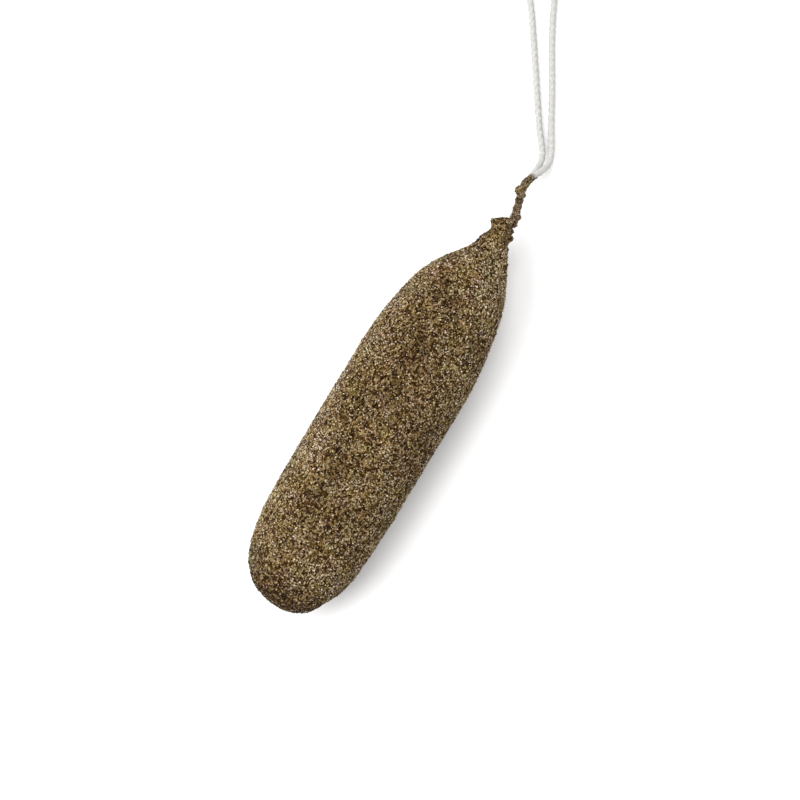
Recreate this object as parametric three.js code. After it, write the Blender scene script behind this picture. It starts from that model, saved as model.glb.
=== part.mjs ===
// A pepper-coated cured sausage that lies on a surface, with the string that it was hung by.
// Millimetres. +X runs along the sausage from its round end to its tied neck, and +Z is up.
// The origin is on the surface, under the middle of the sausage.
import * as THREE from 'three';
import { mergeVertices } from 'three/addons/utils/BufferGeometryUtils.js';

// The sausage
const LENGTH = 182; // round end to the end of the gathered casing
const HALF_LENGTH = LENGTH / 2;
const MIDDLE_HEIGHT = 22.2; // the middle line of the body over the surface
const HEIGHT_TO_WIDTH = 0.965; // the meat settles a little as it lies
const NECK_HEIGHT = 21; // the middle line sags to here at the neck
const SAG_START = 118; // from the round end, where the middle line starts to sag
const SAG_END = 170;
const SHOULDER = 0.1; // how much fuller the top is where the round end begins, of the radius
const SHOULDER_AT = 12.5; // from the round end
const SHOULDER_WIDTH = 5.5;
const PLEATS = 9; // folds of the casing where it is gathered
const PLEAT_DEPTH = 0.07; // of the radius
const SIDES = 52;
const RINGS = 66;

// The string
const STRING = 2.8; // diameter
const STRING_SIDES = 8; // an arc takes two for each of its segments
const LOOP_STEPS = 76;
const GAP = 0.15; // between pieces that touch
const GROOVE_RADIUS = 2; // of the casing under the tie
const TIE_STEPS = 44;
const FIRST_TURN = { along: 174.1, side: -1.4 }; // its middle: from the round end, and towards +Y
const SECOND_TURN = { along: 177.05, side: 0.1 };
const UNDERNEATH = 1.5 * Math.PI; // angles round the neck: 0 is +Y, a quarter turn is up
const CROSSING = THREE.MathUtils.degToRad(50); // either side of underneath, where the turns cross over
const TIE_ENDS = THREE.MathUtils.degToRad(70); // either side of underneath, where the string stops

// The outline: distance from the round end, half width, and how far its middle lies towards +Y.
const OUTLINE = [
  [0, 0, -1.2],
  [0.3, 3.4, -1.2],
  [1, 6.2, -1.1],
  [2.2, 9.6, -0.9],
  [4, 12.5, -0.7],
  [6.2, 14.8, -0.4],
  [9.8, 17.1, 0.1],
  [13.8, 19.2, 0],
  [18, 21.1, -0.2],
  [24, 22.5, -0.1],
  [32, 23.4, 0.1],
  [46, 24.1, 0.1],
  [80, 24.3, 0.2],
  [108, 24.3, 0.2],
  [122, 23.5, 0.2],
  [130, 22.5, 0.3],
  [138, 20.9, 0.4],
  [146, 18.9, 0.2],
  [152, 16.6, -0.3],
  [156, 14.2, -0.7],
  [159.5, 11.8, -1.2],
  [162.7, 9.6, -1.8],
  [166, 7.6, -1.8],
  [169, 6.6, -1.2],
  [171.4, 5.5, -0.8],
  [172.1, 4.9, -0.9],
  [172.4, 3.6, -1.2],
  [172.8, GROOVE_RADIUS, FIRST_TURN.side],
  [174.6, GROOVE_RADIUS, FIRST_TURN.side],
  [176.6, GROOVE_RADIUS, SECOND_TURN.side],
  [178.5, GROOVE_RADIUS, 0.3],
  [178.8, 2.6, 0.5],
  [179.4, 2.7, 0.5],
  [180.3, 1.9, 0.2],
  [181.2, 1, -0.5],
  [LENGTH, 0, -0.9],
];
const NECK_START = 150; // the gathers run from here to the tie

// The loop of string: out of the tie, down to the surface, round its far end and back.
// One strand runs under the other as far as the surface, where they part.
const LOOP_ROUTE = [
  [88.2, -1.7, 25.5],
  [91, -2, 24.6],
  [95, -1.5, 22.6],
  [98.2, -0.6, 20.8],
  [101.6, 0.3, 18.8],
  [105.9, 0.6, 16.2],
  [110.2, -0.4, 13.2],
  [114.3, -2.2, 9.8],
  [118.4, -3, 6.4],
  [122.5, -1.8, 3.7],
  [131.4, 3.5, 1.8],
  [147, 12.6, 1.5],
  [162, 21.8, 1.5],
  [175.4, 29, 1.5],
  [188.4, 35.2, 1.5],
  [200.4, 42.3, 1.5],
  [203.2, 45.5, 1.5],
  [203.7, 49.7, 1.5],
  [201.8, 53.4, 1.5],
  [198.1, 55.4, 1.5],
  [193.9, 55.1, 1.5],
  [186.2, 50.4, 1.5],
  [180.4, 45.4, 1.5],
  [169.6, 36.4, 1.5],
  [149.4, 22, 1.55],
  [128.8, 7.5, 1.7],
  [121.8, 1.9, 2.3],
  [118, 0.2, 3.9],
  [113.9, 0, 6.4],
  [109.6, 0.5, 9.2],
  [105.6, 1.1, 12],
  [101.7, 0.6, 14.6],
  [98.6, -0.7, 16.6],
  [95.3, -1.7, 18.4],
  [91, -3.1, 20.4],
  [88.5, -3.6, 22.3],
];

const PEPPER = { color: 0x6a5840, roughness: 0.9, metalness: 0 };
const COATED_STRING = { color: 0x75624a, roughness: 0.95, metalness: 0 };
const WHITE_STRING = { color: 0xdedcd6, roughness: 0.95, metalness: 0 };

const { smoothstep, lerp } = THREE.MathUtils;

// Joins the shared vertices and drops the triangles that have shrunk to nothing.
function closed(geometry) {
  geometry.deleteAttribute('normal');
  geometry.deleteAttribute('uv');
  const merged = mergeVertices(geometry, 1e-4);
  const from = merged.index.array;
  const kept = [];
  for (let i = 0; i < from.length; i += 3) {
    const [a, b, c] = [from[i], from[i + 1], from[i + 2]];
    if (a !== b && b !== c && c !== a) kept.push(a, b, c);
  }
  merged.setIndex(kept);
  merged.computeVertexNormals();
  return merged;
}

// A value of the outline at a distance from the round end, on a curve through its points.
function outlineAt(distance, column) {
  let next = 1;
  while (next < OUTLINE.length - 1 && OUTLINE[next][0] < distance) next += 1;
  const point = (i) => OUTLINE[THREE.MathUtils.clamp(i, 0, OUTLINE.length - 1)];
  const slope = (i) => {
    const [before, after] = [point(i - 1), point(i + 1)];
    const here = point(i);
    const rise = (here[column] - before[column]) / Math.max(here[0] - before[0], 1e-6);
    const fall = (after[column] - here[column]) / Math.max(after[0] - here[0], 1e-6);
    return rise * fall > 0 ? (2 * rise * fall) / (rise + fall) : 0;
  };
  const [a, b] = [point(next - 1), point(next)];
  const span = b[0] - a[0];
  const t = THREE.MathUtils.clamp((distance - a[0]) / span, 0, 1);
  return (
    (1 + 2 * t) * (1 - t) ** 2 * a[column] +
    t * (1 - t) ** 2 * span * slope(next - 1) +
    t * t * (3 - 2 * t) * b[column] +
    t * t * (t - 1) * span * slope(next)
  );
}

// Ring places from end to end, closer together where the outline turns quickly.
function ringPlaces() {
  const places = new Set(OUTLINE.map(([distance]) => distance));
  const evenly = RINGS - places.size;
  for (let i = 1; i < evenly; i += 1) places.add((LENGTH * i) / evenly);
  const sorted = [...places].sort((a, b) => a - b);
  return sorted.filter((place, i) => i === 0 || place - sorted[i - 1] > 0.25 || place === LENGTH);
}

function makeBody() {
  const profile = ringPlaces().map((x) => new THREE.Vector2(Math.max(0, outlineAt(x, 1)), x));
  profile[0].x = 0;
  profile[profile.length - 1].x = 0;
  const geometry = closed(new THREE.LatheGeometry(profile, SIDES));
  const place = geometry.attributes.position;
  for (let i = 0; i < place.count; i += 1) {
    const along = place.getY(i);
    const angle = Math.atan2(place.getZ(i), -place.getX(i));
    let radius = Math.hypot(place.getX(i), place.getZ(i));
    const gathered = smoothstep(along, NECK_START, SAG_END) * (1 - smoothstep(along, 170, 171));
    radius *= 1 + PLEAT_DEPTH * gathered * Math.sin(PLEATS * angle);
    const settled = smoothstep(along, SAG_START, SAG_END);
    const middle = lerp(MIDDLE_HEIGHT, NECK_HEIGHT, settled);
    const side = outlineAt(along, 2);
    const fuller = 1 + SHOULDER * Math.exp(-(((along - SHOULDER_AT) / SHOULDER_WIDTH) ** 2));
    const up = middle + radius * HEIGHT_TO_WIDTH * fuller * Math.sin(angle);
    place.setXYZ(i, along - HALF_LENGTH, side + radius * Math.cos(angle), Math.max(0, up));
  }
  geometry.computeVertexNormals();
  return geometry;
}

// A tube of string along a curve.
function stringAlong(curve, steps) {
  const section = new THREE.Shape();
  section.absarc(0, 0, STRING / 2, 0, 2 * Math.PI);
  const options = { steps, extrudePath: curve, bevelEnabled: false, curveSegments: STRING_SIDES / 2 };
  return closed(new THREE.ExtrudeGeometry(section, options));
}

// The two turns of string that close the neck, which cross over underneath.
function makeTie() {
  const radius = GROOVE_RADIUS + GAP + STRING / 2;
  const first = UNDERNEATH + TIE_ENDS;
  const last = UNDERNEATH + 4 * Math.PI - TIE_ENDS;
  const crossing = UNDERNEATH + 2 * Math.PI;
  const points = [];
  for (let i = 0; i <= TIE_STEPS; i += 1) {
    const angle = lerp(first, last, i / TIE_STEPS);
    const over = smoothstep(angle, crossing - CROSSING, crossing + CROSSING);
    const along = lerp(FIRST_TURN.along, SECOND_TURN.along, over);
    const side = lerp(FIRST_TURN.side, SECOND_TURN.side, over);
    const y = side + radius * Math.cos(angle);
    const z = NECK_HEIGHT + radius * Math.sin(angle);
    points.push(new THREE.Vector3(along - HALF_LENGTH, y, z));
  }
  return stringAlong(new THREE.CatmullRomCurve3(points), TIE_STEPS);
}

function makeLoop() {
  const points = LOOP_ROUTE.map(([x, y, z]) => new THREE.Vector3(x, y, z));
  return stringAlong(new THREE.CatmullRomCurve3(points), LOOP_STEPS);
}

function named(name, geometry, look) {
  const mesh = new THREE.Mesh(geometry, new THREE.MeshStandardMaterial(look));
  mesh.name = name;
  return mesh;
}

const sausage = new THREE.Group();
sausage.add(named('sausage_body', makeBody(), PEPPER));
sausage.add(named('neck_tie', makeTie(), COATED_STRING));
sausage.add(named('hanging_loop', makeLoop(), WHITE_STRING));

export default sausage;
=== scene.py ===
# %% [markdown]
# # A pepper-coated cured sausage
# This lesson builds the looks of a dry sausage that lies on a white table, seen from above.
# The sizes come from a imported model, which loads first and stays where it is.
# Everything is in metres. +X runs along the sausage to its tied neck, and +Z is up.

import math

import bmesh
import bpy
import numpy as np
from mathutils import Matrix, Vector, noise


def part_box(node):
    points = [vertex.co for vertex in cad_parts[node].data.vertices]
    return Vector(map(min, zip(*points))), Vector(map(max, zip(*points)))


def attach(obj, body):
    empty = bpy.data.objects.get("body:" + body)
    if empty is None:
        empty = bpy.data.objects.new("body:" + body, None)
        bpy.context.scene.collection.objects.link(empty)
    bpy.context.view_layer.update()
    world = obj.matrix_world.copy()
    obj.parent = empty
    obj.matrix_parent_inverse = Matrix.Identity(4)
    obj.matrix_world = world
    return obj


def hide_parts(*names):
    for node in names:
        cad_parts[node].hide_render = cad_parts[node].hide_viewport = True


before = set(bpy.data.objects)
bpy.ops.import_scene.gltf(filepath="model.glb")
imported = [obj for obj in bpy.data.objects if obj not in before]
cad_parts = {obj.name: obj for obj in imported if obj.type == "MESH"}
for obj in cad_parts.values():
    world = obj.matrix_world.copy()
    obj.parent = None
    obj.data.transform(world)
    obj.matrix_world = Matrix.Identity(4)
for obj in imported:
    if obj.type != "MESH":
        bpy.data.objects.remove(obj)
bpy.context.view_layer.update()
MM = 0.001
BODY_LOW, BODY_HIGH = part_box("sausage_body")
print("sausage:", [round(v / MM, 1) for v in np.subtract(BODY_HIGH, BODY_LOW)], "mm")

# %% [markdown]
# ## The camera
# A product on a table is often taken from straight above with a long lens, which keeps the
# round sides from looming. The lens looks down, and the camera is rolled about its own axis
# so that the sausage leans to the right. A matrix with the view's right, up and back
# directions as its columns says all this at once, with no angles to juggle.

# %% Camera
LEAN = math.radians(31.3)  # the sausage's lean from upright, as the camera sees it
FIELD = 0.320  # width of what the camera sees at the height of LOOK_AT
LENS = 150  # millimetres, as Blender takes them
SENSOR = 36
LOOK_AT = Vector((0.0054, -0.0012, 0.022))

view_up = Vector((math.cos(LEAN), math.sin(LEAN), 0))
view_right = Vector((math.sin(LEAN), -math.cos(LEAN), 0))


def in_scene(name, data):
    """A new object with this data, linked to the scene."""
    found = bpy.data.objects.new(name, data)
    bpy.context.scene.collection.objects.link(found)
    return found


camera = in_scene("camera", bpy.data.cameras.new("camera"))
camera.data.lens, camera.data.sensor_width = LENS, SENSOR
distance = FIELD * LENS / SENSOR
turn = Matrix((view_right, view_up, Vector((0, 0, 1)))).transposed().to_4x4()
camera.matrix_world = Matrix.Translation(LOOK_AT + Vector((0, 0, distance))) @ turn
camera.data.clip_end = 10
bpy.context.scene.camera = camera
print("camera height:", round(distance, 3), "m")

# %% [markdown]
# ## The route of the string
# The string is one soft cotton twine, doubled into a loop. It leaves the tie at the neck as two
# strands, one over the other, comes down to the table, and parts into a long narrow loop. A list
# of given points fixes the route. A Catmull-Rom curve goes through all of them, which a
# plain Bezier wouldn't do without handles to look after.

# %% Route of the string
STRING = 2.8 * MM  # across
STRING_STEP = 0.35 * MM
CURVE_STEPS = 60  # between two points of the route, before it is cut into even steps
ROUTE = [
    (0.0882, -0.0017, 0.0255),
    (0.0910, -0.0020, 0.0246),
    (0.0950, -0.0015, 0.0226),
    (0.0982, -0.0006, 0.0208),
    (0.1016, 0.0003, 0.0188),
    (0.1059, 0.0006, 0.0162),
    (0.1102, -0.0004, 0.0132),
    (0.1143, -0.0022, 0.0098),
    (0.1184, -0.0030, 0.0064),
    (0.1225, -0.0018, 0.0037),
    (0.1314, 0.0035, 0.0018),
    (0.1470, 0.0126, 0.0015),
    (0.1620, 0.0218, 0.0015),
    (0.1754, 0.0290, 0.0015),
    (0.1884, 0.0352, 0.0015),
    (0.2004, 0.0423, 0.0015),
    (0.2032, 0.0455, 0.0015),
    (0.2037, 0.0497, 0.0015),
    (0.2018, 0.0534, 0.0015),
    (0.1981, 0.0554, 0.0015),
    (0.1939, 0.0551, 0.0015),
    (0.1862, 0.0504, 0.0015),
    (0.1804, 0.0454, 0.0015),
    (0.1696, 0.0364, 0.0015),
    (0.1494, 0.0220, 0.00155),
    (0.1288, 0.0075, 0.0017),
    (0.1218, 0.0019, 0.0023),
    (0.1180, 0.0002, 0.0039),
    (0.1139, 0.0000, 0.0064),
    (0.1096, 0.0005, 0.0092),
    (0.1056, 0.0011, 0.0120),
    (0.1017, 0.0006, 0.0146),
    (0.0986, -0.0007, 0.0166),
    (0.0953, -0.0017, 0.0184),
    (0.0910, -0.0031, 0.0204),
    (0.0885, -0.0036, 0.0223),
]


def run_along(path):
    """The distance from the path's start to each of its places."""
    return np.concatenate([[0], np.cumsum(np.linalg.norm(np.diff(path, axis=0), axis=1))])


def smooth_path(points, step):
    """Places at even steps along a centripetal Catmull-Rom curve through the points."""
    p = np.array(points)
    p = np.vstack([2 * p[0] - p[1], p, 2 * p[-1] - p[-2]])
    knots = np.concatenate([[0], np.cumsum(np.linalg.norm(np.diff(p, axis=0), axis=1) ** 0.5)])
    found = []
    for i in range(1, len(p) - 2):
        t = np.linspace(knots[i], knots[i + 1], CURVE_STEPS, endpoint=False)[:, None]
        k0, k1, k2, k3 = knots[i - 1 : i + 3]
        a = (k1 - t) / (k1 - k0) * p[i - 1] + (t - k0) / (k1 - k0) * p[i]
        b = (k2 - t) / (k2 - k1) * p[i] + (t - k1) / (k2 - k1) * p[i + 1]
        c = (k3 - t) / (k3 - k2) * p[i + 1] + (t - k2) / (k3 - k2) * p[i + 2]
        d = (k2 - t) / (k2 - k0) * a + (t - k0) / (k2 - k0) * b
        e = (k3 - t) / (k3 - k1) * b + (t - k1) / (k3 - k1) * c
        found.append((k2 - t) / (k2 - k1) * d + (t - k1) / (k2 - k1) * e)
    found = np.vstack(found + [p[-2:-1]])
    run = run_along(found)
    even = np.linspace(0, run[-1], max(2, round(run[-1] / step)))
    return np.stack([np.interp(even, run, found[:, i]) for i in range(3)], 1)


string_path = smooth_path(ROUTE, STRING_STEP)

# %% [markdown]
# ## Twisted twine
# Butcher's twine is three soft plies twisted together. Three helical tubes would cut into each
# other all along, so the twine is one tube with a three-lobed section that turns as it goes.
# The section is swept by hand: a frame is carried along the path with no twist of its own, and
# the lobes' turn is added. The mesh keeps a map of round-the-string against along-the-string,
# which the fibres follow later.


# %% Sweep a section along a path
def carried_frames(path):
    """Two directions across the path at each place, carried along without twisting."""
    ahead = np.gradient(path, axis=0)
    ahead /= np.linalg.norm(ahead, axis=1)[:, None]
    side = np.zeros_like(path)
    last = np.array([0.0, 0.0, 1.0])
    for i, direction in enumerate(ahead):
        last = last - direction * (last @ direction)
        last /= np.linalg.norm(last)
        side[i] = last
    return side, np.cross(ahead, side)


PLIES = 3
PLY_OFFSET = 0.54  # each ply's middle from the string's, of the string's radius
GROOVE_BOTTOM = 0.84  # how near the middle the grooves go, of the string's radius
PITCH = 9 * MM  # the length of one full twist
STRING_SIDES = 30


def ply_radius(angle):
    """How far a twisted string reaches at an angle, for a radius of 1."""
    spread = math.pi / PLIES
    off = (angle + spread) % (2 * spread) - spread
    across = np.clip((1 - PLY_OFFSET) ** 2 - (PLY_OFFSET * np.sin(off)) ** 2, 0, None)
    return np.maximum(PLY_OFFSET * np.cos(off) + np.sqrt(across), GROOVE_BOTTOM)


def twisted_string(name, path):
    """A closed mesh of twisted string along a path."""
    side, over = carried_frames(path)
    run = run_along(path)
    sides = STRING_SIDES
    around = np.arange(sides) / sides * 2 * math.pi
    radius = STRING / 2 * ply_radius(around - run[:, None] / PITCH * 2 * math.pi)
    ring = np.cos(around)[:, None] * side[:, None] + np.sin(around)[:, None] * over[:, None]
    verts = (path[:, None] + ring * radius[:, :, None]).reshape(-1, 3)
    i, j = np.meshgrid(np.arange(len(path) - 1), np.arange(sides), indexing="ij")
    k = (j + 1) % sides
    quads = np.stack([i * sides + j, i * sides + k, (i + 1) * sides + k, (i + 1) * sides + j], -1)
    last = (len(path) - 1) * sides
    faces = quads.reshape(-1, 4).tolist()
    faces += [list(range(sides))[::-1], list(range(last, last + sides))]
    mesh = bpy.data.meshes.new(name)
    mesh.from_pydata(verts.tolist(), [], faces)
    lay = mesh.uv_layers.new(name="lay")
    u = np.stack([j, k + (k == 0) * sides, k + (k == 0) * sides, j], -1) / sides
    v = np.stack([run[i], run[i], run[i + 1], run[i + 1]], -1)
    at = np.zeros((len(mesh.loops), 2))
    at[: u.size] = np.stack([u.ravel(), v.ravel()], 1)
    lay.data.foreach_set("uv", at.ravel())
    mesh.polygons.foreach_set("use_smooth", [True] * len(mesh.polygons))
    mesh.update()
    return in_scene(name, mesh)


# %% The loop of string
loop = twisted_string("string_loop", string_path)
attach(loop, "root")
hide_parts("hanging_loop")
print("string faces:", len(loop.data.polygons))

# %% [markdown]
# ## The skin under the pepper
# Between the grains one sees the casing, caked in pepper dust. Its shape starts as a copy of the
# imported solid. A voxel remesh turns the long facets into small even quads that can be pushed
# about, and a smooth takes out the steps. The skin is then sunk by the depth of the grains, so
# that the grains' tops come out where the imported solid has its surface. Meat dries unevenly, so
# low lumps are added with two sizes of noise, a shallow hollow runs along the top, and the
# casing is drawn in at a few small puckers on the round end.

# %% Skin
COAT = 0.42 * MM  # how deep the coat of grains is
THIN_COAT = 0.3  # how much of that depth is left on the neck
VOXEL = 0.6 * MM
LOWEST = 0.35 * MM  # the skin's underside, above the table
HALF_UP = 0.02  # what lies above this height is the sausage's upper half
LUMPS = [  # size, depth and where in the noise they are taken
    (0.022, 0.34 * MM, (0, 0, 0)),
    (0.008, 0.20 * MM, (7, 1, 3)),
]
HOLLOW_AT, HOLLOW_WIDTH, HOLLOW_DEPTH = 0.004, 0.0045, 0.6 * MM
PUCKERS = [  # place along, place across, radius and depth
    (-0.0862, -0.0010, 0.0022, 0.0010),
    (-0.0805, -0.0080, 0.0026, 0.0009),
    (-0.0815, 0.0065, 0.0030, 0.0007),
]


def rise(values, start, end):
    """0 before start, 1 after end, straight in between."""
    return np.clip((values - start) / (end - start), 0, 1)


def bell(values, middle, width):
    """1 at the middle, and a soft fall to 0 on both sides."""
    return np.exp(-(((values - middle) / width) ** 2))


def applied_copy(name, source, modifiers):
    """A new object with the source's mesh and these modifiers applied."""
    piece = in_scene(name, source.data.copy())
    for kind, settings in modifiers:
        modifier = piece.modifiers.new(kind.lower(), kind)
        for key, value in settings.items():
            setattr(modifier, key, value)
    shaped = piece.evaluated_get(bpy.context.evaluated_depsgraph_get())
    mesh = bpy.data.meshes.new_from_object(shaped)
    piece.modifiers.clear()
    piece.data = mesh
    mesh.materials.clear()
    return piece


def vertex_arrays(mesh):
    """The mesh's vertex places and normals as arrays."""
    places = np.empty(len(mesh.vertices) * 3)
    mesh.vertices.foreach_get("co", places)
    normals = np.empty(len(mesh.vertices) * 3)
    mesh.vertices.foreach_get("normal", normals)
    return places.reshape(-1, 3), normals.reshape(-1, 3)


skin = applied_copy(
    "sausage_skin",
    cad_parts["sausage_body"],
    [
        ("REMESH", {"mode": "VOXEL", "voxel_size": VOXEL}),
        ("SMOOTH", {"factor": 0.5, "iterations": 6}),
    ],
)
places, normals = vertex_arrays(skin.data)
x, y, z = places.T
lumps = sum(
    depth * np.array([noise.noise(Vector(p) / size + Vector(shift)) for p in places])
    for size, depth, shift in LUMPS
)
on_top, away_from_ends = rise(z, 0.030, 0.038), rise(-np.abs(x), -0.07, -0.04)
lumps -= HOLLOW_DEPTH * on_top * away_from_ends * bell(y, HOLLOW_AT, HOLLOW_WIDTH)
for along, across, radius, depth in PUCKERS:
    lumps -= depth * bell(x, along, radius) * bell(y, across, radius) * (z > HALF_UP)
sunk = COAT * (1 - (1 - THIN_COAT) * rise(x, 0.072, 0.078))
places += normals * (lumps - sunk)[:, None]
places[:, 2] = np.maximum(places[:, 2], LOWEST)
skin.data.vertices.foreach_set("co", places.ravel())
skin.data.polygons.foreach_set("use_smooth", [True] * len(skin.data.polygons))
skin.data.update()
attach(skin, "root")
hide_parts("sausage_body")
print("skin faces:", len(skin.data.polygons))

# %% [markdown]
# ## The tie
# The neck is closed by two turns of the same twine, pulled tight into the casing, that cross over
# underneath. The same sweep makes them, along two rings that a smooth step joins where they
# cross. The rings' middles aren't in line, as the soft neck gives way where the twine pulls.
# Pepper dust has caked between the turns and fills the neck out almost to their tops, which a
# few rings of slightly wavy circles are enough to show.

# %% Tie
NECK_HEIGHT = 21 * MM
TIE_RADIUS = 3.55 * MM
FIRST_TURN = (0.0831, -0.0014)  # its middle, along and across
SECOND_TURN = (0.08605, 0.0001)
UNDERNEATH = 1.5 * math.pi
CROSSING = math.radians(50)  # either side of underneath, where the turns cross over
TIE_ENDS = math.radians(70)  # either side of underneath, where the string stops
TIE_STEPS = 150

tie_angle = np.linspace(UNDERNEATH + TIE_ENDS, UNDERNEATH + 4 * math.pi - TIE_ENDS, TIE_STEPS)
crossed = rise(tie_angle - UNDERNEATH - 2 * math.pi, -CROSSING, CROSSING)
crossed = crossed**2 * (3 - 2 * crossed)
tie_path = np.stack([
    FIRST_TURN[0] + (SECOND_TURN[0] - FIRST_TURN[0]) * crossed,
    FIRST_TURN[1] + (SECOND_TURN[1] - FIRST_TURN[1]) * crossed + TIE_RADIUS * np.cos(tie_angle),
    NECK_HEIGHT + TIE_RADIUS * np.sin(tie_angle),
], 1)
tie = twisted_string("tie_string", tie_path)
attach(tie, "root")
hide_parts("neck_tie")

# %% The cake between the turns
CAKE_SIDES = 40
WAVES = [(0.05, 3, 900, 0), (0.04, 7, 0, 2)]  # depth, how many, turn along the neck, and start
NECK_CAKE = [  # place along, radius and place across
    (0.0785, 4.6 * MM, -0.0009),
    (0.0800, 5.1 * MM, -0.0008),
    (0.0816, 4.9 * MM, -0.0009),
    (0.0831, 4.5 * MM, -0.0012),
    (0.0846, 4.5 * MM, -0.0006),
    (0.0860, 4.4 * MM, -0.0001),
    (0.0876, 3.9 * MM, 0.0001),
    (0.0885, 2.6 * MM, 0.0002),
    (0.0889, 0.8 * MM, 0.0002),
]


def lathed(name, rings, height):
    """A closed mesh through wavy rings of these places along, radii and places across."""
    sides = CAKE_SIDES
    around = np.arange(sides) / sides * 2 * math.pi
    along, radius, across = (np.array(column)[:, None] for column in zip(*rings))
    lumpy = radius * (1 + sum(
        depth * np.sin(waves * around + turn * along + start) for depth, waves, turn, start in WAVES
    ))
    verts = np.stack([
        np.broadcast_to(along, lumpy.shape),
        across + lumpy * np.cos(around),
        height + lumpy * np.sin(around),
    ], 2).reshape(-1, 3)
    last = (len(rings) - 1) * sides
    faces = [
        (i + j, i + sides + j, i + sides + (j + 1) % sides, i + (j + 1) % sides)
        for i in range(0, last, sides)
        for j in range(sides)
    ]
    faces += [list(range(sides)), list(range(last, last + sides))[::-1]]
    mesh = bpy.data.meshes.new(name)
    mesh.from_pydata(verts.tolist(), [], faces)
    mesh.polygons.foreach_set("use_smooth", [True] * len(mesh.polygons))
    return in_scene(name, mesh)


neck_cake = lathed("neck_cake", NECK_CAKE, NECK_HEIGHT)
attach(neck_cake, "root")
TIE_LOW, TIE_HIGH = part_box("neck_tie")
print("tie:", [round(v / MM, 1) for v in np.subtract(TIE_HIGH, TIE_LOW)], "mm")

# %% [markdown]
# ## Crushed peppercorns
# The coat is crushed peppercorns: flat black and brown flakes of husk, and lumps of the olive,
# tan and cream inside. A bump texture would look painted at the edges of the sausage, where real
# grains stand out, so each grain is a small closed solid. A few dozen shapes are made once, each
# the convex hull of some points in a flattened ball, and thousands of turned and scaled copies
# are set into the skin. NumPy places them all at once, which a loop over objects couldn't do in
# reasonable time.

# %% Grain shapes
SHAPES_OF_A_KIND = 14
DEEPEST_CORNER = 0.82  # how far from its middle a grain's nearest corner is, of 1
FLAKE_CORNERS, FLAKE_FLATNESS = 9, 0.36
CRUMB_CORNERS, CRUMB_FLATNESS = 10, 0.62
rng = np.random.default_rng(11)


def grain_shape(corners, flatness):
    """The hull of random points in a flattened ball: its vertices and its triangles."""
    points = rng.normal(size=(corners, 3))
    points /= np.linalg.norm(points, axis=1)[:, None]
    points *= rng.uniform(DEEPEST_CORNER, 1, (corners, 1))
    points[:, 2] *= flatness
    bm = bmesh.new()
    for p in points:
        bm.verts.new(p)
    hull = bmesh.ops.convex_hull(bm, input=bm.verts)
    left_over = hull["geom_interior"] + hull["geom_unused"]
    loose = {element for element in left_over if isinstance(element, bmesh.types.BMVert)}
    bmesh.ops.delete(bm, geom=list(loose), context="VERTS")
    bmesh.ops.triangulate(bm, faces=bm.faces)
    bmesh.ops.recalc_face_normals(bm, faces=bm.faces)
    bm.verts.index_update()
    verts = np.array([v.co for v in bm.verts])
    faces = np.array([[v.index for v in f.verts] for f in bm.faces])
    bm.free()
    return verts, faces


flakes = [grain_shape(FLAKE_CORNERS, FLAKE_FLATNESS) for _ in range(SHAPES_OF_A_KIND)]
crumbs = [grain_shape(CRUMB_CORNERS, CRUMB_FLATNESS) for _ in range(SHAPES_OF_A_KIND)]
print("triangles a grain:", np.mean([len(faces) for _, faces in flakes + crumbs]))


# %% [markdown]
# ## Setting grains into a surface
# Places are drawn evenly over the surface by picking triangles in proportion to their area. Each
# grain lies flat on the skin, with a little tilt, and is sunk so that its lower part is held by
# the casing. A number from 0 to 1 is stored on its faces, its tone, which the material turns
# into a colour. A small square of a UV map is set aside for each grain, so that the colours can
# be baked later with no two grains sharing a place in the map.


# %% Draw places on a surface
def surface_of(piece):
    """The piece's triangles: corner places and corner normals."""
    mesh = piece.data
    mesh.calc_loop_triangles()
    places, normals = vertex_arrays(mesh)
    corners = np.empty(len(mesh.loop_triangles) * 3, dtype=np.int32)
    mesh.loop_triangles.foreach_get("vertices", corners)
    corners = corners.reshape(-1, 3)
    return places[corners], normals[corners]


def draw_places(corners, normals, weight, count):
    """Random places on triangles and the normals there, by each triangle's area and weight."""
    one, other = corners[:, 1] - corners[:, 0], corners[:, 2] - corners[:, 0]
    chance = np.linalg.norm(np.cross(one, other), axis=1) * weight
    picked = rng.choice(len(chance), count, p=chance / chance.sum())
    share = rng.dirichlet((1, 1, 1), count)[:, :, None]
    place = (corners[picked] * share).sum(1)
    normal = (normals[picked] * share).sum(1)
    return place, normal / np.linalg.norm(normal, axis=1)[:, None]


# %% Set grains
TABLE_GAP = 0.02 * MM  # nothing reaches under the table's top
STRETCH = (0.75, 1.15)  # the least and most that a grain's shape is stretched each way
GRAIN_WIDTH = 2.1  # the widest grain shape, with a little room round it
TOPS, UNDERSIDES = (0.02, 0.56), (0.62, 0.36)  # where they start in a square, and their width
SQUARE_EDGE = 0.04


def turns(normal, tilt):
    """A rotation for each grain: its flat side to the normal, tilted and spun at random."""
    up = normal + rng.normal(size=normal.shape) * tilt
    up /= np.linalg.norm(up, axis=1)[:, None]
    side = np.cross(up, rng.normal(size=up.shape))
    side /= np.linalg.norm(side, axis=1)[:, None]
    return np.stack([side, np.cross(up, side), up], 2)


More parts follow.
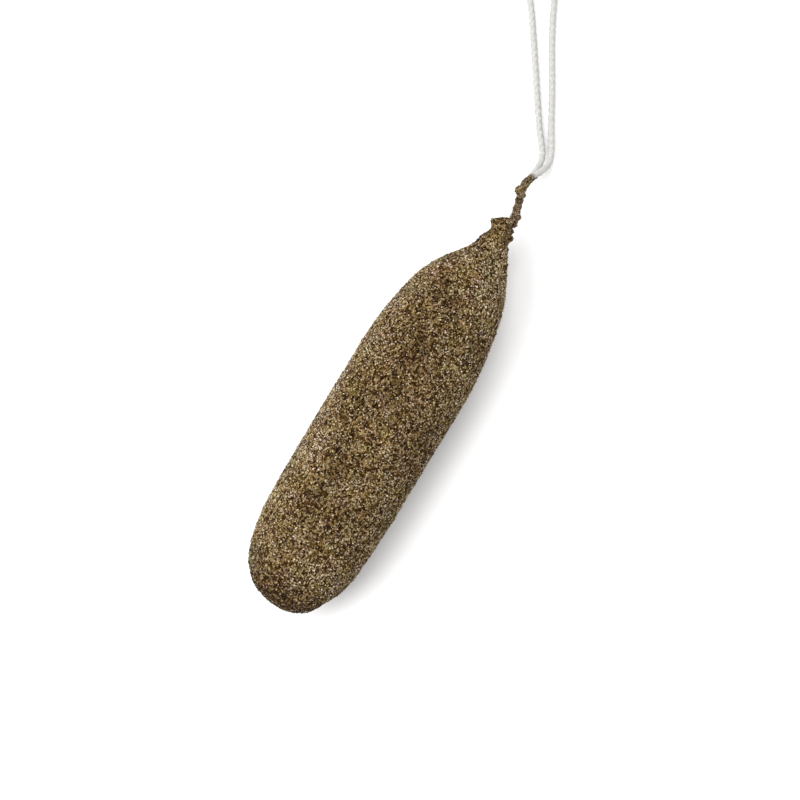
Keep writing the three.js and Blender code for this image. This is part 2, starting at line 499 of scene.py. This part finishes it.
def bake_squares(verts, faces, cell, across):
    """Where each face's corners go in the bake map.

    Every grain has a square, with its top in the left part and its underside in the right.
    """
    corner = verts[faces]
    across_face = np.cross(corner[:, 1] - corner[:, 0], corner[:, 2] - corner[:, 0])
    flat = corner[:, :, :2] / GRAIN_WIDTH + 0.5
    under = across_face[:, 2] < 0
    start, width = np.where(under, np.array([UNDERSIDES]).T, np.array([TOPS]).T)
    flat[:, :, 0] = start[:, None] + width[:, None] * flat[:, :, 0]
    flat[:, :, 1] = SQUARE_EDGE + (1 - 2 * SQUARE_EDGE) * flat[:, :, 1]
    origin = np.stack([cell % across, cell // across], 1)
    return (origin[:, None, None] + flat[None]) / across


def set_grains(name, place, normal, size, shapes, lift, tilt, tone):
    """One mesh of grains at these places. Size is the half width of each, tone its shade."""
    count = len(place)
    turn = turns(normal, tilt)
    which = rng.integers(0, len(shapes), count)
    stretch = rng.uniform(*STRETCH, (count, 3))
    across = math.ceil(math.sqrt(count))
    all_verts, all_faces, all_uvs, all_tones, start = [], [], [], [], 0
    for i, (verts, faces) in enumerate(shapes):
        mine = np.flatnonzero(which == i)
        local = verts[None] * (size[mine, None] * stretch[mine])[:, None]
        local[:, :, 2] += (lift[mine] * size[mine])[:, None]
        world = np.einsum("nij,nvj->nvi", turn[mine], local) + place[mine, None]
        all_verts.append(world.reshape(-1, 3))
        steps = start + np.arange(len(mine))[:, None, None] * len(verts)
        all_faces.append((faces[None] + steps).reshape(-1, 3))
        all_uvs.append(bake_squares(verts, faces, mine, across).reshape(-1, 2))
        all_tones.append(np.repeat(tone[mine], len(faces)))
        start += len(mine) * len(verts)
    verts, faces = np.vstack(all_verts), np.vstack(all_faces)
    verts[:, 2] = np.maximum(verts[:, 2], TABLE_GAP)
    mesh = bpy.data.meshes.new(name)
    mesh.from_pydata(verts.tolist(), [], faces.tolist())
    mesh.uv_layers.new(name="OFBake").data.foreach_set("uv", np.vstack(all_uvs).ravel())
    tones = mesh.attributes.new("tone", "FLOAT", "FACE")
    tones.data.foreach_set("value", np.concatenate(all_tones))
    piece = in_scene(name, mesh)
    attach(piece, "root")
    print(name, "grains:", count, "triangles:", len(faces))
    return piece


# %% [markdown]
# ## Where dark grains gather, with painted light and shade
# Rolled in pepper by hand, the coat isn't even. Black husk gathers in a few soft round patches,
# in a long drift on the top and at the neck, and pale crumbs in a band along one side. On top of
# that, painted shade darkens the steep round end and a little of the right side, and painted light
# pales the left side and the body toward the neck. One number for each place says how dark it is,
# from patches, bands, slopes and a slow noise. It steers both how likely each kind of grain is and
# how dark its own tone.

# %% Dark and pale drifts, with painted shade and painted light
PATCHES = [  # place along, place across, radius and strength
    (0.026, 0.003, 0.009, 1.0),
    (0.050, 0.001, 0.006, 0.4),
    (0.007, -0.002, 0.008, 0.7),
    (0.052, 0.010, 0.006, 0.4),
    (-0.001, 0.019, 0.007, 0.6),
    (-0.008, -0.015, 0.009, 0.6),
    (-0.027, 0.007, 0.006, 0.4),
    (-0.048, 0.007, 0.007, 0.4),
]

# The next three are paler where the strength is below zero.
DRIFTS = [  # lengthwise: place across, half width and strength
    (-0.009, 0.004, -0.25),
]
BANDS = [  # round the body: place along, half width and strength
    (-0.042, 0.005, 0.40),
    (0.036, 0.009, 0.10),
    # These two pale the body toward the neck: painted light.
    (0.056, 0.009, -0.45),
    (0.069, 0.006, -0.55),
]
SLOPES = [  # the way they rise, where they start and end that way, and strength
    # The first row is painted shade on the right side, the second painted light on the left side.
    ((0, -1, 0), 0.014, 0.018, 0.05),
    ((0, 1, 0), 0.012, 0.022, -0.42),
    # These two are painted shade on the steep round end.
    ((-1, 0, 0), 0.066, 0.078, 0.30),
    ((-1, 0, 0), 0.078, 0.086, 1.10),
    ((1, 0, 0), 0.078, 0.081, 0.45),
    ((1, 0, 0), 0.088, 0.092, 0.15),
]
TOP_DRIFT_AT, TOP_DRIFT_WIDTH, TOP_DRIFT = 0.007, 0.005, 0.45
PATCHES_DARKER = 1.1
EVENLY_DARK, NOISE_DARK, NOISE_SIZE = 0.6, 0.75, 0.011
LEAST_DARK, MOST_DARK = 0.03, 2


def darkness_with_painted_shading(places):
    """How dark the coat is at each place, about 0 to 2, painted shade and painted light included.
    """
    x, y, z = places.T
    shift = Vector((3, 9, 4))
    slow = np.array([noise.noise(Vector(p) / NOISE_SIZE + shift) for p in places])
    found = EVENLY_DARK + NOISE_DARK * slow
    on_top = TOP_DRIFT * bell(y, TOP_DRIFT_AT, TOP_DRIFT_WIDTH)
    for along, across, radius, strength in PATCHES:
        on_top += PATCHES_DARKER * strength * bell(x, along, radius) * bell(y, across, radius)
    found += on_top * (z > HALF_UP)
    for across, width, strength in DRIFTS:
        found += strength * bell(y, across, width)
    for along, width, strength in BANDS:
        found += strength * bell(x, along, width)
    for way, start, end, strength in SLOPES:
        found += strength * rise(places @ way, start, end)
    return np.clip(found, LEAST_DARK, MOST_DARK)


# %% [markdown]
# ## Where grains stick
# The whole sausage went through the pepper, so grains stick to the skin, the tie and the first
# part of the string. Their surfaces are joined into one list of triangles, each with its own
# density, and grains on the neck and the string are smaller. A few small cakes of pepper sit on
# them: small balls, which the grains hide. The coat ends raggedly on the string.

# %% Surfaces that hold grains
CAKED_TO = 0.1097  # the string is coated from the tie to here
RAGGED, RAGGED_TURNS = 0.0012, 2600  # the depth of the coat's waves there, and radians a metre
CAKES = [  # place and radius of the cakes of pepper on the neck and the string
    ((0.1022, 0.0015, 0.0184), 0.0019),
    ((0.1052, 0.0007, 0.0165), 0.0014),
    ((0.1012, -0.0006, 0.0188), 0.0012),
    ((0.1060, 0.0013, 0.0160), 0.0014),
    ((0.0922, -0.0034, 0.0236), 0.0014),
    ((0.0950, -0.0009, 0.0226), 0.0012),
    ((0.0985, 0.0000, 0.0206), 0.0012),
    ((0.0860, 0.0040, 0.0216), 0.0011),
    ((0.0859, -0.0040, 0.0212), 0.0012),
    ((0.0835, -0.0053, 0.0210), 0.0012),
    ((0.0878, 0.0001, 0.0232), 0.0012),
]


def mesh_from(bm, name):
    """A mesh from a bmesh, which is then freed."""
    mesh = bpy.data.meshes.new(name)
    bm.to_mesh(mesh)
    bm.free()
    return mesh


def balls(name, places_and_radii):
    """One mesh of small balls."""
    bm = bmesh.new()
    for place, radius in places_and_radii:
        at = Matrix.Translation(place)
        bmesh.ops.create_icosphere(bm, subdivisions=2, radius=radius, matrix=at)
    return in_scene(name, mesh_from(bm, name))


cakes = balls("pepper_cakes", CAKES)
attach(cakes, "root")
string_corners, string_normals = surface_of(loop)
coat_end = CAKED_TO + RAGGED * np.sin(string_corners[:, 0, 1] * RAGGED_TURNS)
caked = string_corners[:, :, 0].mean(1) < coat_end
holders = [  # the triangles that hold grains, and how densely
    (*surface_of(skin), 1),
    (*surface_of(tie), 2),
    (*surface_of(neck_cake), 2),
    (*surface_of(cakes), 4),
    (string_corners[caked], string_normals[caked], 5),
]
grain_corners = np.concatenate([corners for corners, _, _ in holders])
grain_normals = np.concatenate([normals for _, normals, _ in holders])
density = np.concatenate([np.full(len(corners), thick) for corners, _, thick in holders])
dark_there = darkness_with_painted_shading(grain_corners.mean(1))
print("triangles that hold grains:", len(grain_corners))
print("mean darkness:", round(dark_there.mean(), 2))


# %% The coat of grains
MOSTLY_SMALL = (1.5, 2.4)  # a beta distribution's two numbers
SMALLER_ON_NECK, SMALLER_ON_STRING = 0.25, 0.13
USUAL_DARKNESS = 0.75  # grains keep their own tone there
TONE_SHIFT = 0.28


def coat(name, count, shapes, size, lift, tilt, weight):
    """Grains of one kind all over. Size is the smallest and largest half width, in mm."""
    count = int(count * (1))
    place, normal = draw_places(grain_corners, grain_normals, weight * density, count)
    small, large = size
    half = (small + (large - small) * rng.beta(*MOSTLY_SMALL, count)) * MM
    on_neck, on_string = rise(place[:, 0], 0.076, 0.083), rise(place[:, 0], 0.087, 0.091)
    half *= 1 - SMALLER_ON_NECK * on_neck - SMALLER_ON_STRING * on_string
    raised = rng.uniform(*lift, count)
    tone = rng.uniform(0, 1, count) + TONE_SHIFT * (USUAL_DARKNESS - darkness_with_painted_shading(place))
    piece = set_grains(name, place, normal, half, shapes, raised, tilt, np.clip(tone, 0, 1))
    return piece


# The weights below carry the coat's drifts and also the painted shade and painted light of the
# darkness map.
where_dark = 0.2 + dark_there
where_pale = np.clip(1.25 - 0.45 * dark_there, 0.15, None)
nearly_even = 0.7 + 0.3 * dark_there
mixed_shapes = crumbs + flakes
husk = coat("black_husk", 12000, flakes, (0.34, 0.92), (0.05, 0.45), 0.28, where_dark)
brown = coat("brown_husk", 12500, flakes + crumbs, (0.30, 0.75), (0.05, 0.5), 0.32, nearly_even)
olive = coat("olive_flesh", 12500, mixed_shapes, (0.30, 0.68), (0.1, 0.45), 0.38, where_pale)
grey = coat("grey_flesh", 6000, mixed_shapes, (0.28, 0.64), (0.1, 0.45), 0.38, nearly_even)
cream = coat("cream_core", 9000, crumbs, (0.22, 0.56), (0.15, 0.6), 0.42, where_pale)

# %% [markdown]
# ## Finishes
# Each kind of grain has its own material. The stored tone picks a colour from a ramp, so that no
# two neighbours match, and a fine noise mottles each grain. A wide, slow noise tints whole areas
# a little yellower or greyer, as spices in one batch are never quite mixed. Pepper is dry and
# dull, and only the black husk is a little less rough than the rest.


# %% Node helpers
def new_material(name):
    """A material, a helper that adds nodes and one that sets or links its shader's inputs."""
    material = bpy.data.materials.new(name)
    material.use_nodes = True
    tree = material.node_tree

    def fill(node, inputs):
        for key, value in inputs.items():
            if isinstance(value, bpy.types.NodeSocket):
                tree.links.new(value, node.inputs[key])
            else:
                node.inputs[key].default_value = value

    def add(kind, inputs, **settings):
        node = tree.nodes.new("ShaderNode" + kind)
        for key, value in settings.items():
            setattr(node, key, value)
        fill(node, inputs)
        return node

    return material, add, lambda inputs: fill(tree.nodes["Principled BSDF"], inputs)


def from_screen(red, green, blue):
    """A colour as a screen shows it, in 255ths, turned into the light that Blender mixes."""
    def one(v):
        v /= 255
        return v / 12.92 if v <= 0.04045 else ((v + 0.055) / 1.055) ** 2.4

    return (one(red), one(green), one(blue), 1)


def ramp(add, factor, stops):
    """A colour ramp with these (place, colour) stops."""
    node = add("ValToRGB", {"Fac": factor})
    elements = node.color_ramp.elements
    while len(elements) < len(stops):
        elements.new(0.5)
    for element, (place, colour) in zip(elements, stops):
        element.position, element.color = place, from_screen(*colour)
    return node.outputs["Color"]


TINT_SCALE = 150  # waves a metre
TINT_LEAST, TINT_SPREAD = (0.89, 0.91, 0.65), (0.22, 0.18, 0.70)  # red, green and blue


def object_place(add):
    """Where on the object a point lies."""
    return add("TexCoord", {}).outputs["Object"]


def drifting(add, colour):
    """The colour, tinted differently from one area of a few millimetres to the next."""
    slow = add("TexNoise", {"Vector": object_place(add), "Scale": TINT_SCALE, "Detail": 1})
    tint = {0: slow.outputs["Color"], 1: TINT_SPREAD, 2: TINT_LEAST}
    tint = add("VectorMath", tint, operation="MULTIPLY_ADD").outputs[0]
    return add("VectorMath", {0: colour, 1: tint}, operation="MULTIPLY").outputs[0]


# %% Grain materials
MOTTLE = 0.35  # how far the fine noise moves a grain's tone
GRAIN_NOISE = 2600


def grain_material(name, stops, roughness):
    """A material for one kind of pepper grain."""
    material, add, shade = new_material(name)
    tone = add("Attribute", {}, attribute_name="tone").outputs["Fac"]
    fine = {"Vector": object_place(add), "Scale": GRAIN_NOISE, "Detail": 3, "Roughness": 0.6}
    fine = add("TexNoise", fine).outputs["Fac"]
    mottled = add("Math", {0: fine, 1: MOTTLE, 2: tone}, operation="MULTIPLY_ADD").outputs[0]
    centred = add("Math", {0: mottled, 1: MOTTLE / 2}, operation="SUBTRACT").outputs[0]
    raised = add("Bump", {"Height": fine, "Strength": 0.25, "Distance": 0.1 * MM})
    shade({
        "Base Color": drifting(add, ramp(add, centred, stops)),
        "Normal": raised.outputs["Normal"],
        "Roughness": roughness,
        "Specular IOR Level": 0.06,
    })
    return material


GRAIN_FINISHES = [  # the grains, their finish, its colours from dark to pale, and its roughness
    (husk, "black husk", [
        (0, (20, 8, 1)), (0.5, (42, 24, 6)), (1, (71, 50, 21)),
    ], 0.6),
    (brown, "brown husk", [
        (0, (68, 47, 20)), (0.4, (108, 86, 58)), (0.75, (133, 111, 82)), (1, (151, 131, 102)),
    ], 0.75),
    (olive, "olive flesh", [
        (0, (118, 99, 59)), (0.5, (151, 133, 96)), (1, (175, 159, 125)),
    ], 0.85),
    (grey, "grey flesh", [
        (0, (104, 86, 67)), (0.5, (135, 118, 98)), (1, (164, 148, 129)),
    ], 0.85),
    (cream, "cream core", [
        (0, (162, 146, 114)), (0.5, (187, 172, 146)), (1, (208, 197, 178)),
    ], 0.9),
]
for piece, name, colours, roughness in GRAIN_FINISHES:
    piece.data.materials.append(grain_material(name, colours, roughness))
    print(piece.name, "is finished as", name)

# %% [markdown]
# ## Pepper dust and painted shade on the skin
# The skin between the grains is caked in dust too fine to model. Voronoi cells of two sizes give
# it a crumbly pattern in the same browns, and the same cells drive the bump. The darkest of its
# colours, down to near black, are painted shade in the gaps between the grains; the rest is the
# dust's own brown.


# %% Skin material
SMALL_CRUMBS, LARGE_CRUMBS = 1900, 1100  # cells a metre
# The darkest stops are painted shade in the gaps between grains, the paler ones the dust's brown.
DUST_AND_GAP_SHADE_COLOURS = [
    (0.2, (24, 12, 2)),
    (0.45, (56, 37, 12)),
    (0.62, (92, 72, 41)),
    (0.85, (136, 116, 80)),
]


def mixed_colour(add, share, one, other):
    """One colour with a share of another mixed in."""
    # A Mix node's colour sockets are its inputs 6 and 7 and its output 2.
    return add("Mix", {0: share, 6: one, 7: other}, data_type="RGBA").outputs[2]


def skin_material():
    """Caked pepper dust, with painted shade for the gaps between the grains."""
    material, add, shade = new_material("dusty casing")
    where = object_place(add)
    small = add("TexVoronoi", {"Vector": where, "Scale": SMALL_CRUMBS}).outputs
    large = add("TexVoronoi", {"Vector": where, "Scale": LARGE_CRUMBS}).outputs
    both = mixed_colour(add, 0.5, small["Color"], large["Color"])
    chance = add("SeparateColor", {"Color": both}).outputs["Red"]
    raised = {"Height": small["Distance"], "Strength": 0.6, "Distance": 0.3 * MM}
    raised = add("Bump", raised, invert=True)
    shade({
        "Base Color": drifting(add, ramp(add, chance, DUST_AND_GAP_SHADE_COLOURS)),
        "Normal": raised.outputs["Normal"],
        "Roughness": 0.9,
        "Specular IOR Level": 0.05,
    })
    return material


dust_and_gap_shade = skin_material()
for piece in (skin, tie, neck_cake, cakes):
    piece.data.materials.append(dust_and_gap_shade)
print("dusty pieces:", [piece.name for piece in (skin, tie, neck_cake, cakes)])

# %% [markdown]
# ## Cotton
# Cotton twine is a matt off-white with fine fibres that lie along each ply. Noise stretched along
# the string, in the map that the sweep left on it, gives the fibres, and a touch of sheen gives
# the soft edge of loose fuzz. Where the string is caked, the same dust as on the skin takes over,
# with a ragged edge from a noise that shifts the place of the change.


# %% Cotton material
FIBRES = (14, 900, 1)  # round the string and along it
COTTON_COLOURS = [(0.3, (158, 156, 153)), (0.7, (194, 193, 189))]
STRING_DUST_COLOURS = [(0.35, (22, 14, 6)), (0.5, (54, 40, 22)), (0.65, (109, 90, 60))]
DUST_CRUMBS = 1500
DUST_RAGGED = 0.004  # how far the noise moves the end of the dust


def cotton_material():
    """Off-white cotton, and dust on its first part."""
    material, add, shade = new_material("cotton twine")
    lay = add("UVMap", {}, uv_map="lay").outputs["UV"]
    stretched = add("Mapping", {"Vector": lay, "Scale": FIBRES}).outputs[0]
    fibres = {"Vector": stretched, "Scale": 1, "Detail": 4, "Roughness": 0.6}
    fibres = add("TexNoise", fibres).outputs["Fac"]
    where = object_place(add)
    crumbly = add("TexNoise", {"Vector": where, "Scale": DUST_CRUMBS, "Detail": 2}).outputs["Fac"]
    along = add("SeparateXYZ", {"Vector": where}).outputs["X"]
    shifted = add("Math", {0: crumbly, 1: DUST_RAGGED, 2: along}, operation="MULTIPLY_ADD")
    edge = {"Value": shifted.outputs[0]}
    edge["From Min"], edge["From Max"] = CAKED_TO + 0.0010, CAKED_TO + 0.0042
    clean = add("MapRange", edge, interpolation_type="SMOOTHSTEP").outputs[0]
    dust = ramp(add, crumbly, STRING_DUST_COLOURS)
    cotton = ramp(add, fibres, COTTON_COLOURS)
    raised = add("Bump", {"Height": fibres, "Strength": 0.4, "Distance": 0.3 * MM})
    shade({
        "Base Color": mixed_colour(add, clean, dust, cotton),
        "Normal": raised.outputs["Normal"],
        "Roughness": 0.95,
        "Sheen Weight": 0.15,
    })
    return material


loop.data.materials.append(cotton_material())
print("string finish:", loop.data.materials[0].name)

# %% [markdown]
# ## Table and light
# The table is a large white sheet. One lamp overhead would put a dark rim all round the sausage.
# Two wide round lamps, one well to the left and one beyond the neck, and a bright room that adds
# light from everywhere leave only a soft shadow on the right.

# %% Table
TABLE_HALF_WIDTH = 3
TABLE_WHITE = 0.9
sheet = bmesh.new()
bmesh.ops.create_grid(sheet, x_segments=4, y_segments=4, size=TABLE_HALF_WIDTH)
table = in_scene("table", mesh_from(sheet, "table"))
paper, _, shade_paper = new_material("white table")
shade_paper({
    "Base Color": (TABLE_WHITE, TABLE_WHITE, TABLE_WHITE, 1),
    "Roughness": 0.9,
    "Specular IOR Level": 0,
})
table.data.materials.append(paper)
print("table:", 2 * TABLE_HALF_WIDTH, "m across")

# %% Light
LAMP_HEIGHT = 1.2
ROOM_LIGHT = 0.77
LAMPS = [  # name, how far right of and above the view's middle, width and watts
    ("left lamp", -1.0, -0.1, 1.2, 21.6),
    ("far lamp", 0.1, 0.64, 0.7, 8.6),
]

for name, right, up, width, watts in LAMPS:
    data = bpy.data.lights.new(name, "AREA")
    data.shape, data.size, data.energy = "DISK", width, watts
    lamp = in_scene(name, data)
    lamp.location = LOOK_AT + view_right * right + view_up * up
    lamp.location.z = LAMP_HEIGHT
    lamp.rotation_euler = (LOOK_AT - lamp.location).to_track_quat("-Z", "Y").to_euler()
    lamp.visible_camera = False
    print(name, "at", [round(v, 2) for v in lamp.location])

room = bpy.data.worlds.new("room")
room.use_nodes = True
background = room.node_tree.nodes["Background"]
background.inputs["Color"].default_value = (1, 1, 1, 1)
background.inputs["Strength"].default_value = ROOM_LIGHT
bpy.context.scene.world = room
bpy.context.scene.view_settings.view_transform = "Standard"
